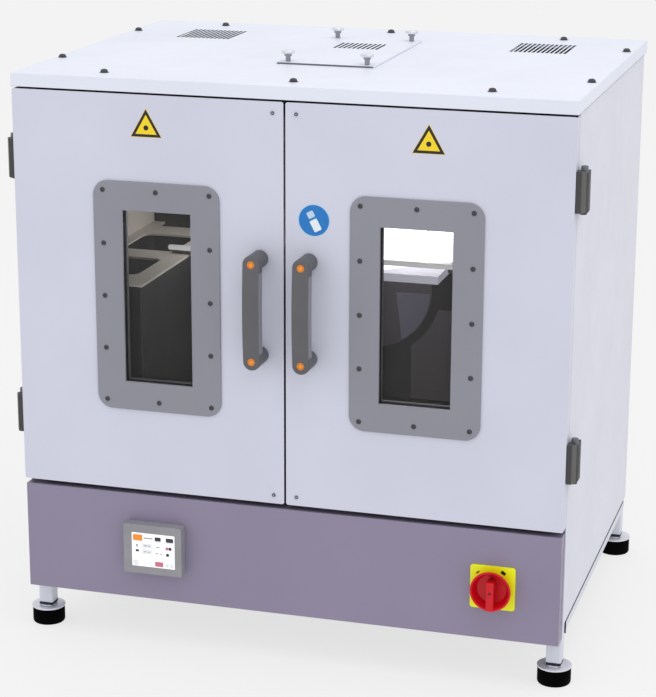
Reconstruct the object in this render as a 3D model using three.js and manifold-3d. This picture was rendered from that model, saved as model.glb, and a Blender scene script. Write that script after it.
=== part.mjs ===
// Bench reflow oven: welded tube frame on four rubber feet, sheet-metal casing,
// heated chamber with two glazed doors, removable top access panel held by four
// thumb screws, touch controller and rotary main switch on the front fascia.
// Units are millimetres, +Z is up, the front of the oven faces -Y, and the
// origin is on the floor plane below the middle of the overall box.
import * as THREE from 'three';
import { mergeVertices } from 'three/addons/utils/BufferGeometryUtils.js';
import Module from 'manifold-3d';

const wasm = await Module();
wasm.setup();

// ---------------------------------------------------------------- dimensions
const BODY_W = 800;            // casing width over the side panels
const BODY_D = 584;            // front of the doors to the rear of the side panels
const SHEET = 1.5;             // casing sheet thickness
const GAP = 0.3;               // assembly clearance between touching pieces
const DOOR_T = 20;             // door thickness
const DOOR_Z0 = 239;           // lower edge of the doors
const DOOR_Z1 = 815;           // upper edge of the doors
const DOOR_GAP = 3;            // slit between the two doors
const FASCIA_Z0 = 70.5;        // lower edge of the control fascia
const FASCIA_Z1 = 231.5;       // upper edge of the control fascia
const FASCIA_D = 28;           // depth of the fascia tray
const LID_Z0 = 817.5;          // lower edge of the top cover flange
const LID_Z1 = 836.5;          // top surface
const LID_W = 803;             // top cover width
const LID_D = 603;             // top cover depth
const TUBE = 22;               // square frame tube
const POST_X = 387;            // centre of the corner posts
const POST_YF = 39;            // centre of the front posts
const POST_YR = 573;           // centre of the rear posts
const FOOT_H = 24;             // rubber foot height
const FOOT_R = 24;             // rubber foot radius
const WIN_X = 187;             // window centre from the middle of the oven
const WIN_Z = 526.5;           // window centre height
const WIN_W = 101.4, WIN_H = 249.6;       // glazed opening
const BEZ_W = 186.6, BEZ_H = 332.8, BEZ_R = 22, BEZ_T = 2.5;  // window bezel
const HANDLE_X = 35.5;         // handle centre from the middle of the oven
const HANDLE_Z = 527;          // handle centre height
const HANDLE_PITCH = 138;      // distance between the handle fixings
const HANDLE_W = 24.6;         // handle width
const PIVOT_X = 408;           // door hinge axis
const PIVOT_Y = 21;
const HINGE_Z = [715, 338];    // centres of the upper and lower hinges
const HINGE_H = 56;            // hinge leaf height
const LEAF_X = 412.5;          // outer face of the hinge leaves
const LEAF_DROP = 4.5;         // the cabinet leaves sit this much lower than the door leaves
const CH_X = 370, CH_Y0 = 30, CH_Y1 = 470, CH_Z0 = 262, CH_Z1 = 790; // chamber, inside faces
const RACK_Z = 525;            // underside of the rack ledges
const RACK_X = 235;            // inner edge of the rack ledges
const SHELF_Z = 537, SHELF_X = 170;      // top and half width of the board shelf
const PANEL_X = 73, PANEL_Y0 = 193, PANEL_Y1 = 477; // access panel on the top
const THUMB_X = 59, THUMB_Y = [207, 465];
const FRONT_Y = -45;           // most forward point (door handles)
const Y_SHIFT = -(FRONT_Y + LID_D) / 2;

// ------------------------------------------------------------------- colours
const COL = {
  white: 0xd9daea, panel: 0xe0e1ea, lid: 0xeef0fa, mauve: 0x8d879d, frame: 0xd2d4de,
  grey: 0x92929d, dark: 0x4b4b4f, handle: 0x646468, black: 0x111113, steel: 0xb9bbc0,
  liner: 0x77776f, glass: 0xcfd6d8, yellow: 0xdce61e, red: 0xc8232d, screen: 0xf2f4f6,
  beige: 0xa09b91, ceramic: 0xf4f4f0, alu: 0xc6c8d2, pcb: 0x2f6b45,
};

// ------------------------------------------------------------------- helpers
function solid(geo) {
  let g = geo.index ? geo.toNonIndexed() : geo.clone();
  g.deleteAttribute('normal'); g.deleteAttribute('uv');
  g = mergeVertices(g, 1e-5);
  return new wasm.Manifold(new wasm.Mesh({
    numProp: 3,
    vertProperties: new Float32Array(g.attributes.position.array),
    triVerts: new Uint32Array(g.index.array),
  }));
}
function box(x0, x1, y0, y1, z0, z1) {
  const g = new THREE.BoxGeometry(x1 - x0, y1 - y0, z1 - z0);
  g.translate((x0 + x1) / 2, (y0 + y1) / 2, (z0 + z1) / 2);
  return solid(g);
}
function cyl(axis, r, a, b, p, q, seg = 16, r2 = r) {
  // axis 'x': p = y, q = z;  'y': p = x, q = z;  'z': p = x, q = y
  const g = new THREE.CylinderGeometry(r2, r, b - a, seg);
  if (axis === 'z') { g.rotateX(Math.PI / 2); g.translate(p, q, (a + b) / 2); }
  if (axis === 'y') { g.translate(p, (a + b) / 2, q); }
  if (axis === 'x') { g.rotateZ(-Math.PI / 2); g.translate((a + b) / 2, p, q); }
  return solid(g);
}
function roundRect(w, h, r) {
  const s = new THREE.Shape(), x = w / 2, y = h / 2;
  s.moveTo(-x + r, -y);
  s.lineTo(x - r, -y); s.absarc(x - r, -y + r, r, -Math.PI / 2, 0, false);
  s.lineTo(x, y - r); s.absarc(x - r, y - r, r, 0, Math.PI / 2, false);
  s.lineTo(-x + r, y); s.absarc(-x + r, y - r, r, Math.PI / 2, Math.PI, false);
  s.lineTo(-x, -y + r); s.absarc(-x + r, -y + r, r, Math.PI, Math.PI * 1.5, false);
  return s;
}
// rounded plate in the XZ plane between y0 and y1
function plateY(cx, cz, w, h, r, y0, y1, seg = 4) {
  const g = new THREE.ExtrudeGeometry(roundRect(w, h, r), { depth: y1 - y0, bevelEnabled: false, curveSegments: seg });
  g.rotateX(Math.PI / 2);           // extrusion runs towards -y, profile y becomes z
  g.translate(cx, y1, cz);
  return solid(g);
}
// rounded plate in the XY plane between z0 and z1
function plateZ(cx, cy, w, h, r, z0, z1, seg = 4) {
  const g = new THREE.ExtrudeGeometry(roundRect(w, h, r), { depth: z1 - z0, bevelEnabled: false, curveSegments: seg });
  g.translate(cx, cy, z0);
  return solid(g);
}
// prism along x (profile given as [y, z] pairs), from x0 to x1
function prismX(points, x0, x1) {
  const s = new THREE.Shape(points.map(([y, z]) => new THREE.Vector2(y, z)));
  const g = new THREE.ExtrudeGeometry(s, { depth: x1 - x0, bevelEnabled: false });
  const m = new THREE.Matrix4().set(0, 0, 1, x0, 1, 0, 0, 0, 0, 1, 0, 0, 0, 0, 0, 1);
  g.applyMatrix4(m);
  return solid(g);
}
// prism along z (profile given as [x, y] pairs)
function prismZ(points, z0, z1) {
  const s = new THREE.Shape(points.map(([x, y]) => new THREE.Vector2(x, y)));
  const g = new THREE.ExtrudeGeometry(s, { depth: z1 - z0, bevelEnabled: false });
  g.translate(0, 0, z0);
  return solid(g);
}
// square tube along an axis, open at both ends
function tube(axis, c1, c2, a, b, size = TUBE, wall = 2) {
  const h = size / 2, i = h - wall, e = 1;
  if (axis === 'z') return box(c1 - h, c1 + h, c2 - h, c2 + h, a, b).subtract(box(c1 - i, c1 + i, c2 - i, c2 + i, a - e, b + e));
  if (axis === 'x') return box(a, b, c1 - h, c1 + h, c2 - h, c2 + h).subtract(box(a - e, b + e, c1 - i, c1 + i, c2 - i, c2 + i));
  return box(c1 - h, c1 + h, a, b, c2 - h, c2 + h).subtract(box(c1 - i, c1 + i, a - e, b + e, c2 - i, c2 + i));
}
const all = (list) => list.reduce((a, b) => a.add(b));

const part = new THREE.Group();
part.name = 'reflow_oven';
part.position.y = Y_SHIFT;
function put(name, man, color, roughness = 0.5, metalness = 0) {
  const m = man.getMesh();
  const g = new THREE.BufferGeometry();
  g.setAttribute('position', new THREE.BufferAttribute(new Float32Array(m.vertProperties), 3));
  g.setIndex(new THREE.BufferAttribute(new Uint32Array(m.triVerts), 1));
  const mesh = new THREE.Mesh(g, new THREE.MeshStandardMaterial({ color, roughness, metalness }));
  mesh.name = name;
  part.add(mesh);
  return mesh;
}

// ---------------------------------------------------------------------- feet
for (const [ny, y] of [['front', POST_YF], ['rear', POST_YR]]) {
  for (const [nx, s] of [['left', -1], ['right', 1]]) {
    const x = s * POST_X;
    const puck = cyl('z', FOOT_R - 2, 0, 2, x, y, 24, FOOT_R).add(cyl('z', FOOT_R, 2, FOOT_H, x, y, 24));
    put(`${ny}_${nx}_foot`, puck, COL.black, 0.8);
    // corner post with its welded foot plate
    let post = tube('z', x, y, 30, 812);
    post = post.add(cyl('z', FOOT_R + 1, FOOT_H + GAP, 27, x, y, 24)).add(box(x - 9.5, x + 9.5, y - 9.5, y + 9.5, 26.5, 34));
    put(`${ny}_${nx}_post`, post, COL.frame, 0.45, 0.1);
  }
}

// --------------------------------------------------------------------- frame
const IN = POST_X - TUBE / 2 - GAP;              // inner face of the posts, with clearance
for (const [nx, s] of [['left', -1], ['right', 1]]) {
  put(`${nx}_bottom_rail`, tube('y', s * POST_X, 81, POST_YF + TUBE / 2 + GAP, POST_YR - TUBE / 2 - GAP), COL.frame, 0.45, 0.1);
}
// four cross rails between the posts
put('front_top_rail', tube('x', POST_YF, 802 - 0.5, -IN, IN, 20), COL.frame, 0.45, 0.1);
put('rear_top_rail', tube('x', POST_YR, 802 - 0.5, -IN, IN, 20), COL.frame, 0.45, 0.1);
put('front_middle_rail', tube('x', POST_YF, 243, -IN, IN, 20), COL.frame, 0.45, 0.1);

// -------------------------------------------------------------------- casing
{
  // base pan: floor sheet with upturned front and rear flanges
  const y0 = FASCIA_D + GAP, y1 = POST_YR - TUBE / 2 - GAP, x = IN;
  let pan = box(-x, x, y0, y1, 72, 73.5);
  pan = pan.add(box(-x, x, y0, y0 + SHEET, 72, 92)).add(box(-x, x, y1 - SHEET, y1, 72, 92));
  for (let i = -2; i <= 2; i++) pan = pan.subtract(box(i * 110 - 30, i * 110 + 30, 380, 384, 70, 75)).subtract(box(i * 110 - 30, i * 110 + 30, 400, 404, 70, 75));
  put('base_panel', pan, COL.steel, 0.4, 0.6);

  // control fascia: folded tray, open to the back
  const w = 398.3, t = SHEET;
  let f = box(-w, w, 0, FASCIA_D, FASCIA_Z0, FASCIA_Z1).subtract(box(-w + t, w - t, t, FASCIA_D + 1, FASCIA_Z0 + t, FASCIA_Z1 - t));
  f = f.subtract(box(-231, -162, -1, t + 1, 124, 183));       // controller cut-out
  f = f.subtract(cyl('y', 14, -1, t + 1, 303.5, 148.7, 20));   // switch shaft hole
  put('control_fascia', f, COL.mauve, 0.45, 0.1);

  // side panels: outer sheet with front and rear returns
  for (const [nx, s] of [['left', -1], ['right', 1]]) {
    const a = s > 0 ? 398.3 : -400, b = s > 0 ? 400 : -398.3;
    const p = box(a, b, 22, BODY_D + 1, 92.3, 816);
    put(`${nx}_side_panel`, p, COL.panel, 0.4, 0.05);
  }
  // back panel, with ventilation slots and an inlet cut-out
  let back = box(-398, 398, POST_YR + TUBE / 2 + GAP, POST_YR + TUBE / 2 + GAP + SHEET, 74, 813.5);
  for (const cx of [-200, 200]) for (let i = 0; i < 8; i++) back = back.subtract(box(cx - 45, cx + 45, 580, 590, 190 + i * 12, 194 + i * 12));
  back = back.subtract(box(296, 324, 580, 590, 126, 174));
  put('back_panel', back, COL.panel, 0.4, 0.05);

  // top cover: folded lid with slot groups and a service opening
  const lw = LID_W / 2;
  let lid = box(-lw, lw, 0, LID_D, LID_Z0, LID_Z1).subtract(box(-lw + t, lw - t, t, LID_D - t, LID_Z0 - 1, LID_Z1 - t));
  const slots = (x0, x1, n, y0, y1) => {
    const p = (x1 - x0) / n;
    for (let i = 0; i < n; i++) { const c = x0 + (i + 0.5) * p; lid = lid.subtract(box(c - 2, c + 2, y0, y1, LID_Z1 - 5, LID_Z1 + 5)); }
  };
  slots(-309, -221, 13, 416, 512);
  slots(220, 308, 13, 416, 512);
  lid = lid.subtract(box(-48, 48, 225, 447, LID_Z1 - 5, LID_Z1 + 5));
  for (const x of [-THUMB_X, THUMB_X]) for (const y of THUMB_Y) lid = lid.subtract(cyl('z', 2.4, LID_Z1 - 5, LID_Z1 + 5, x, y, 10));
  // cover screws, seated in the sheet
  const heads = [];
  for (const [x, y] of [[-277, 42], [0, 42], [277, 42], [-277, 566], [0, 566], [277, 566], [-390, 160], [-390, 468], [390, 160], [390, 468]])
    heads.push(cyl('z', 5, LID_Z1 - 1, LID_Z1 + 3.4, x, y, 10, 4.2));
  put('top_cover', all([lid, ...heads]), COL.lid, 0.4, 0.05);
}

// ------------------------------------------------------------- access panel
{
  const t = 2, z0 = LID_Z1 + GAP;
  let p = plateZ(0, (PANEL_Y0 + PANEL_Y1) / 2, PANEL_X * 2, PANEL_Y1 - PANEL_Y0, 3, z0, z0 + t, 2);
  for (let i = 0; i < 10; i++) p = p.subtract(box(-36.5 + i * 7.2, -32.5 + i * 7.2, 359, 418, z0 - 1, z0 + t + 1));
  for (const x of [-THUMB_X, THUMB_X]) for (const y of THUMB_Y) p = p.subtract(cyl('z', 2.9, z0 - 1, z0 + t + 1, x, y, 10));
  put('access_panel', p, COL.lid, 0.4, 0.05);
  let i = 1;
  for (const y of THUMB_Y) for (const x of [-THUMB_X, THUMB_X]) {
    // thumb screw: threaded shank, collar and round head
    const zt = z0 + t + GAP;
    const s = all([cyl('z', 2, LID_Z1 - 9, zt + 4, x, y, 10), cyl('z', 3.7, zt, zt + 8, x, y, 14), cyl('z', 5.6, zt + 7, zt + 10.5, x, y, 16), cyl('z', 9.8, zt + 10.5, zt + 15.5, x, y, 24)]);
    put(`thumb_screw_${i++}`, s, COL.steel, 0.25, 0.9);
  }
}

// --------------------------------------------------------------------- doors
for (const [nx, s] of [['left', -1], ['right', 1]]) {
  const x0 = DOOR_GAP / 2, x1 = BODY_W / 2, t = SHEET;
  const X = (a, b) => (s > 0 ? [a, b] : [-b, -a]);
  const bx = (a, b, ...r) => { const [p, q] = X(a, b); return box(p, q, ...r); };
  const cx = s * WIN_X, mid = (x0 + x1) / 2;
  // outer pan
  let pan = plateY(s * mid, (DOOR_Z0 + DOOR_Z1) / 2, x1 - x0, DOOR_Z1 - DOOR_Z0, 3, 0, DOOR_T, 2);
  pan = pan.subtract(bx(x0 + t, x1 - t, t, DOOR_T + 1, DOOR_Z0 + t, DOOR_Z1 - t));
  pan = pan.subtract(box(cx - WIN_W / 2, cx + WIN_W / 2, -1, t + 1, WIN_Z - WIN_H / 2, WIN_Z + WIN_H / 2));
  // catch screws on the opening edge
  for (const z of [DOOR_Z0 + 12.6, DOOR_Z1 - 15.6]) pan = pan.add(cyl('y', 2.6, -1.4, 1, s * 16.8, z, 10));
  put(`${nx}_door_pan`, pan, COL.white, 0.4, 0.05);
  // inner panel, a shallow tray that closes the pan and holds the glass
  let inner = bx(x0 + t + GAP, x1 - t - GAP, 14, DOOR_T - GAP, DOOR_Z0 + t + GAP, DOOR_Z1 - t - GAP);
  inner = inner.subtract(box(cx - WIN_W / 2, cx + WIN_W / 2, 10, DOOR_T + 1, WIN_Z - WIN_H / 2, WIN_Z + WIN_H / 2));
  put(`${nx}_door_inner_panel`, inner, COL.steel, 0.35, 0.6);
  // glass between the two skins
  put(`${nx}_window_glass`, box(cx - WIN_W / 2 - 9, cx + WIN_W / 2 + 9, 9.5, 13.7, WIN_Z - WIN_H / 2 - 9, WIN_Z + WIN_H / 2 + 9), COL.glass, 0.05);
  // gasket between the glass and the outer skin
  let gasket = box(cx - WIN_W / 2 - 9, cx + WIN_W / 2 + 9, t + GAP, 9.2, WIN_Z - WIN_H / 2 - 9, WIN_Z + WIN_H / 2 + 9);
  gasket = gasket.subtract(box(cx - WIN_W / 2 + 0.4, cx + WIN_W / 2 - 0.4, 0, 12, WIN_Z - WIN_H / 2 + 0.4, WIN_Z + WIN_H / 2 - 0.4));
  put(`${nx}_window_gasket`, gasket, COL.dark, 0.7);
  // screwed bezel
  let bez = plateY(cx, WIN_Z, BEZ_W, BEZ_H, BEZ_R, -BEZ_T - GAP, -GAP, 6);
  bez = bez.subtract(box(cx - WIN_W / 2, cx + WIN_W / 2, -9, 9, WIN_Z - WIN_H / 2, WIN_Z + WIN_H / 2));
  for (const dx of [-1, 0, 1]) for (const dz of [-2, -1, 0, 1, 2]) {
    if (dx === 0 && Math.abs(dz) !== 2) continue;
    bez = bez.add(cyl('y', 3.4, -BEZ_T - GAP - 1.3, -1, cx + dx * 78.8, WIN_Z + dz * 76.45, 8));
  }
  put(`${nx}_window_bezel`, bez, COL.grey, 0.45, 0.1);
  // bow handle: two round bosses and a bowed grip
  const hx = s * HANDLE_X, hp = HANDLE_PITCH / 2;
  const outer = [], innerc = [];
  const n = 10;
  for (let i = 0; i <= n; i++) {
    const u = -1 + 2 * i / n, z = HANDLE_Z + u * hp;
    outer.push([-41.2 - 3.8 * (1 - u * u), z]); innerc.push([-26 - 2.5 * (1 - u * u), z]);
  }
  const grip = prismX([...outer, ...innerc.reverse()], hx - HANDLE_W / 2, hx + HANDLE_W / 2);
  const ends = [1, -1].map((e) => cyl('y', HANDLE_W / 2, -41.2, -GAP, hx, HANDLE_Z + e * hp, 20));
  const caps = [1, -1].map((e) => cyl('y', 5.2, -42.2, -40, hx, HANDLE_Z + e * hp, 16));
  put(`${nx}_handle`, all([grip, ...ends, ...caps]), COL.handle, 0.55);

  // hinges: door leaf with a middle knuckle, cabinet leaf with two knuckles and the pin
  HINGE_Z.forEach((hz, k) => {
    const tag = k === 0 ? 'upper' : 'lower', h = HINGE_H / 2, kz = 13.5;
    const px = s * PIVOT_X, r = 4.9;
    const knuckle = cyl('z', r, hz - kz, hz + kz, px, PIVOT_Y, 16);
    const outline = (list) => list.map(([x, y]) => [s * x, y]);
    // both leaves are thick blocks, relieved next to the pin; the door leaf is chamfered in front
    let leaf = prismZ(outline([[x1 + GAP, 0.6], [407.6, 0.6], [LEAF_X, 9], [LEAF_X, 12.5], [409.5, 15], [x1 + GAP, 15]]), hz - h, hz + h);
    leaf = leaf.add(bx(x1 + GAP, 407.6, 14, PIVOT_Y - 0.4, hz - kz, hz + kz)).add(knuckle);
    leaf = leaf.subtract(cyl('z', 2.7, hz - 40, hz + 40, px, PIVOT_Y, 12));
    put(`${nx}_${tag}_hinge_door_leaf`, leaf, COL.dark, 0.5);
    const c0 = hz - h - LEAF_DROP, c1 = hz + h - LEAF_DROP;
    let cab = prismZ(outline([[x1 + GAP, 27], [409.5, 27], [LEAF_X, 30], [LEAF_X, 46], [x1 + GAP, 46]]), c0, c1);
    for (const [a, b] of [[c0, hz - kz - 0.4], [hz + kz + 0.4, c1]]) {
      cab = cab.add(bx(x1 + GAP, 407.6, PIVOT_Y + 0.4, 28, a, b)).add(cyl('z', r, a, b, px, PIVOT_Y, 16));
    }
    cab = cab.add(cyl('z', 2.2, c0 + 1, hz + h + 4, px, PIVOT_Y, 12));
    cab = cab.add(cyl('z', r, c1 - 1, hz + h + 5, px, PIVOT_Y, 16));
    put(`${nx}_${tag}_hinge_cabinet_leaf`, cab, COL.dark, 0.5);
  });
}

// ------------------------------------------------------------------- chamber
{
  const t = 1.5;
  // liner: sheet box open to the front, with a cable opening in the rear wall
  let liner = box(-CH_X - t, CH_X + t, CH_Y0, CH_Y1 + t, CH_Z0 - t, CH_Z1 + t).subtract(box(-CH_X, CH_X, CH_Y0 - 1, CH_Y1, CH_Z0, CH_Z1));
  liner = liner.subtract(cyl('y', 15, CH_Y1 - 5, CH_Y1 + 5, -200, 700, 14));
  // clear of the front rails
  liner = liner.subtract(box(-500, 500, CH_Y0 - 1, 52, CH_Z1 - 1, CH_Z1 + 30)).subtract(box(-500, 500, CH_Y0 - 1, 52, CH_Z0 - 30, CH_Z0));
  put('chamber_liner', liner, COL.liner, 0.5, 0.4);
  // side racks: upright sheet with a ladder-cut top ledge
  for (const [nx, s] of [['left', -1], ['right', 1]]) {
    const X = (a, b) => (s > 0 ? [a, b] : [-b, -a]);
    const bx = (a, b, ...r) => { const [p, q] = X(a, b); return box(p, q, ...r); };
    const zt = RACK_Z;
    let rack = bx(RACK_X, RACK_X + 2, 60, 466, CH_Z0 + 6, zt + 2).add(bx(RACK_X, CH_X - GAP, 60, 466, zt, zt + 3)).add(bx(RACK_X, CH_X - GAP, 60, 466, CH_Z0 + GAP, CH_Z0 + 7));
    // two long cut-outs and one that is open to the rear
    for (const [y, len] of [[170, 106], [326, 108]]) rack = rack.subtract(plateZ(s * 307, y, 86, len, 13, zt - 2, zt + 5, 4));
    rack = rack.subtract(plateZ(s * 307, 464, 86, 60, 13, zt - 2, zt + 5, 4));
    put(`${nx}_rack`, rack, COL.beige, 0.6, 0.1);
  }
  // board shelf: thick plate carried on the two racks by side arms
  let shelf = box(-SHELF_X, SHELF_X, 200, 450, SHELF_Z - 12, SHELF_Z);
  for (const y of [260, 400]) shelf = shelf.add(box(-262, 262, y, y + 12, RACK_Z + 3 + GAP, SHELF_Z - 2));
  put('board_shelf', shelf, COL.alu, 0.5, 0.3);
  // reflector hood hanging from the chamber roof, open below, its rear wall reaching down to the shelf
  let hood = box(-185, 185, 205, 456, 610, 780).subtract(box(-181, 181, 209, 452, 600, 776));
  hood = hood.add(box(-181, 181, 452, 456, SHELF_Z - 11, 620));
  hood = hood.add(box(-120, -110, 290, 300, 779, CH_Z1 - GAP)).add(box(110, 120, 290, 300, 779, CH_Z1 - GAP));
  put('reflector_hood', hood, COL.ceramic, 0.5);
  // quartz heating rods: one in front of the shelf, hung from the chamber roof, and one
  // across the mouth of the hood, hung by its ends from the lower rim of the side walls
  [[120, 573, 215, 40, CH_Z1 - GAP], [330, 600, 184.5, 0, 610 - GAP]].forEach(([y, z, x, inset, top], i) => {
    const bracket = (a, b) => box(a, b, y - 2, y + 2, z, top);
    const e = all([cyl('x', 4.5, -x + 2, x - 2, y, z, 12), cyl('x', 3, -x, -x + 3, y, z, 12, 4.5), cyl('x', 4.5, x - 3, x, y, z, 12, 3), bracket(-x + inset, -x + inset + 3), bracket(x - inset - 3, x - inset)]);
    put(`ir_emitter_${i + 1}`, e, COL.ceramic, 0.3);
  });
  // temperature probe, clamped to the rear wall beside the shelf
  const probe = all([cyl('y', 2.5, 280, CH_Y1 - GAP, 205, 560, 10), cyl('y', 8, CH_Y1 - 12, CH_Y1 - GAP, 205, 560, 14)]);
  put('temperature_probe', probe, COL.steel, 0.3, 0.9);
}

// ------------------------------------------------------------------ controls
{
  // touch controller: bezel housing in front of the fascia and its rear body
  let h = plateY(-196.5, 153.5, 89, 75, 3, -17, -GAP, 2);
  h = h.subtract(box(-228.5, -162, -20, -15.2, 126.8, 178.8));
  h = h.add(box(-230, -163, -1, 24, 125, 182));
  put('controller_housing', h, COL.grey, 0.5);
  put('controller_screen', box(-228.2, -162.3, -16.6, -15.5, 127.1, 178.5), COL.screen, 0.2);
  // main switch: yellow plate with the switch body behind the fascia
  const sx = 303.5, sz = 148.7;
  let pl = plateY(sx, sz, 64, 64, 4, -2.8, -GAP, 2);
  pl = pl.add(cyl('y', 13.5, -1, 30, sx, sz, 20)).add(box(sx - 24, sx + 24, 8, 60, sz - 24, sz + 24).subtract(box(-1, 1, 0, 1, 0, 1)));
  pl = pl.subtract(cyl('y', 4.6, -5, 20, sx, sz, 16));
  put('main_switch_body', pl, COL.yellow, 0.5);
  // red rotary knob: a cup that flares to its rim, with a bar grip and a padlock hole
  let k = cyl('y', 28.6, -17.5, -3.1, sx, sz, 32, 22.3).add(cyl('y', 29, -20, -17.4, sx, sz, 32));
  k = k.subtract(cyl('y', 26.4, -20.6, -6, sx, sz, 32, 20.6));
  k = k.add(prismX([[-22, sz + 14], [-22, sz - 28.4], [-17.5, sz - 28.4], [-4.5, sz - 21.5], [-4.5, sz + 14]], sx - 5.5, sx + 5.5));
  k = k.subtract(cyl('y', 1.8, -23, -15, sx, sz - 6, 10));
  k = k.add(cyl('y', 4.2, -5, 16, sx, sz, 12));
  put('main_switch_knob', k, COL.red, 0.4);
}

// ---------------------------------------------------------- rear and machinery
{
  // mains inlet in the back panel
  const yb = POST_YR + TUBE / 2 + GAP + SHEET;   // outer face of the back panel
  let inlet = box(290, 330, yb + GAP, yb + 3, 120, 180).add(box(297, 323, yb - 22, yb + 1, 127, 173));
  inlet = inlet.subtract(box(301, 319, yb - 18, yb + 9, 145, 169));
  put('mains_inlet', inlet, COL.black, 0.5);
  // power electronics on the base pan
  put('power_supply', box(120, 260, 120, 320, 73.5 + GAP, 150), COL.steel, 0.4, 0.7);
  // cooling fan on the back panel, behind its slots: square housing and a separate rotor
  const fx = -200, fz = 234, fy = 546, fb = yb - SHEET - GAP;
  let fan = box(fx - 50, fx + 50, fy, fb, fz - 50, fz + 50).subtract(cyl('y', 46, fy - 1, fb + 1, fx, fz, 24));
  fan = fan.add(box(fx - 48, fx + 48, fb - 3, fb, fz - 4, fz + 4)).add(cyl('y', 12, fb - 3, fb, fx, fz, 12)).add(cyl('y', 3, fy + 6, fb - 2, fx, fz, 10));
  put('fan_housing', fan, COL.black, 0.5);
  let rotor = cyl('y', 16, fy + 3, fy + 27, fx, fz, 16);
  for (let i = 0; i < 7; i++) {
    const a = i / 7 * Math.PI * 2;
    const g = new THREE.BoxGeometry(30, 2, 20);
    g.rotateX(0.6); g.translate(27, 0, 0); g.rotateY(-a); g.translate(fx, fy + 15, fz);
    rotor = rotor.add(solid(g));
  }
  rotor = rotor.subtract(cyl('y', 3.4, fy - 5, fy + 50, fx, fz, 12));
  put('fan_rotor', rotor, COL.dark, 0.5);
}

export default part;
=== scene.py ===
# Looks of the bench reflow oven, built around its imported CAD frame.
import bpy, bmesh, math
from mathutils import Vector, Matrix


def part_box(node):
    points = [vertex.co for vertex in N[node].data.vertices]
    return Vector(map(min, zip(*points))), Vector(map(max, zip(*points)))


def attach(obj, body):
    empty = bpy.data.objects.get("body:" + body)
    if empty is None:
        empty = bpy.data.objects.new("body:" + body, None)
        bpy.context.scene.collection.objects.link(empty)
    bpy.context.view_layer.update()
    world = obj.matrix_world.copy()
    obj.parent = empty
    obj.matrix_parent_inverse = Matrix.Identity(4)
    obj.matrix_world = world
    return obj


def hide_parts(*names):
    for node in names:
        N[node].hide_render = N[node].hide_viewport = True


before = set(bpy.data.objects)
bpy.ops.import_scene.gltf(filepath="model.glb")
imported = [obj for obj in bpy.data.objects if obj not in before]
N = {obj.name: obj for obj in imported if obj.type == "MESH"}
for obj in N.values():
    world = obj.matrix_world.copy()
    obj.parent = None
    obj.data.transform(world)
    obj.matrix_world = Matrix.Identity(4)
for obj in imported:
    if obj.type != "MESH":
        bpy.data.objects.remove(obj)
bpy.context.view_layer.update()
MM = 0.001
scene = bpy.context.scene
coll = scene.collection

# ------------------------------------------------------------------- anchors
Y0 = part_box("control_fascia")[0].y            # plane of the door and fascia fronts
LID_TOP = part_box("left_side_panel")[1].z      # used only as a reference height


def Y(mm):
    """millimetres behind the front plane -> metres in the row frame"""
    return Y0 + mm * MM


# ----------------------------------------------------------------- materials
def new_mat(name):
    m = bpy.data.materials.new(name)
    m.use_nodes = True
    nt = m.node_tree
    nt.nodes.clear()
    out = nt.nodes.new("ShaderNodeOutputMaterial")
    b = nt.nodes.new("ShaderNodeBsdfPrincipled")
    nt.links.new(b.outputs["BSDF"], out.inputs["Surface"])
    return m, nt, b


def srgb(r, g, b):
    def f(c):
        c = c / 255.0
        return c / 12.92 if c <= 0.04045 else ((c + 0.055) / 1.055) ** 2.4
    return (f(r), f(g), f(b), 1.0)


def coords(nt):
    return nt.nodes.new("ShaderNodeTexCoord").outputs["Object"]


def noise(nt, vec, scale, detail=3.0, rough=0.55):
    n = nt.nodes.new("ShaderNodeTexNoise")
    n.inputs["Scale"].default_value = scale
    n.inputs["Detail"].default_value = detail
    n.inputs["Roughness"].default_value = rough
    nt.links.new(vec, n.inputs["Vector"])
    return n.outputs["Fac"]


def ramp(nt, fac, stops, interp="LINEAR"):
    r = nt.nodes.new("ShaderNodeValToRGB")
    r.color_ramp.interpolation = interp
    els = r.color_ramp.elements
    while len(els) < len(stops):
        els.new(0.5)
    for e, (p, c) in zip(els, stops):
        e.position = p
        e.color = c if len(c) == 4 else (*c, 1.0)
    nt.links.new(fac, r.inputs["Fac"])
    return r.outputs["Color"]


def math_node(nt, op, a, b=None, c=None):
    n = nt.nodes.new("ShaderNodeMath")
    n.operation = op
    for i, v in enumerate((a, b, c)):
        if v is None:
            continue
        if isinstance(v, (int, float)):
            n.inputs[i].default_value = v
        else:
            nt.links.new(v, n.inputs[i])
    return n.outputs[0]


def maprange(nt, v, a, b, c, d):
    n = nt.nodes.new("ShaderNodeMapRange")
    n.inputs["From Min"].default_value = a
    n.inputs["From Max"].default_value = b
    n.inputs["To Min"].default_value = c
    n.inputs["To Max"].default_value = d
    nt.links.new(v, n.inputs["Value"])
    return n.outputs["Result"]


def bump(nt, b, height, strength, distance, prev=None):
    n = nt.nodes.new("ShaderNodeBump")
    n.inputs["Strength"].default_value = strength
    n.inputs["Distance"].default_value = distance
    nt.links.new(height, n.inputs["Height"])
    if prev is not None:
        nt.links.new(prev, n.inputs["Normal"])
    nt.links.new(n.outputs["Normal"], b.inputs["Normal"])
    return n.outputs["Normal"]


def mixc(nt, fac, a, b, mode="MIX"):
    n = nt.nodes.new("ShaderNodeMix")
    n.data_type = "RGBA"
    n.blend_type = mode
    if isinstance(fac, (int, float)):
        n.inputs[0].default_value = fac
    else:
        nt.links.new(fac, n.inputs[0])
    for i, v in ((6, a), (7, b)):
        if isinstance(v, tuple):
            n.inputs[i].default_value = v
        else:
            nt.links.new(v, n.inputs[i])
    return n.outputs[2]


def shade(c, k):
    return (min(c[0] * k, 1), min(c[1] * k, 1), min(c[2] * k, 1), 1.0)


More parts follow.
